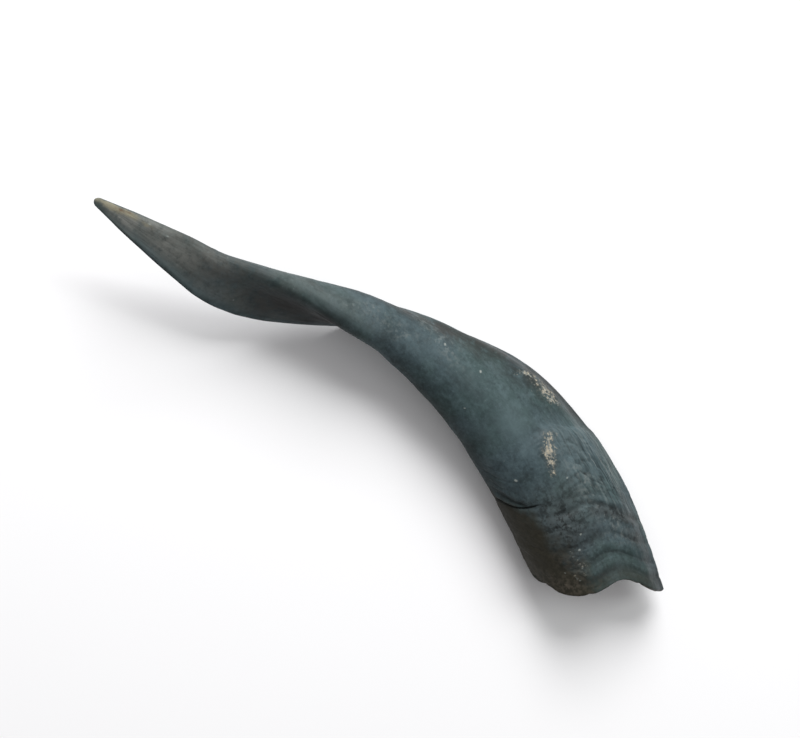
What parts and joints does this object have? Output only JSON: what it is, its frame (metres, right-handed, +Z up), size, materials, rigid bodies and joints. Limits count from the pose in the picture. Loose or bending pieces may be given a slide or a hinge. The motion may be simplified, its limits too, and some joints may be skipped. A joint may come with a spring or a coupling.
{
  "type": "goat horn",
  "caption": "Hollow dark goat horn lying on its inner side: half-twisted blade tip, ridged base and wavy open rim.",
  "frame": {"origin": "middle of the footprint's box, on the surface that the horn lies on", "axes": "+Z up; +X out of the open mouth along the base; the tip points towards -X and -Y"},
  "size_m": [0.2488, 0.1826, 0.0447],
  "materials": {
    "horn": "satin slate-grey horn keratin, mottled, with brown patina, pale flaking and a dark shaded base"
  },
  "bodies": {
    "root": {"horn": "horn"}
  },
  "joints": []
}
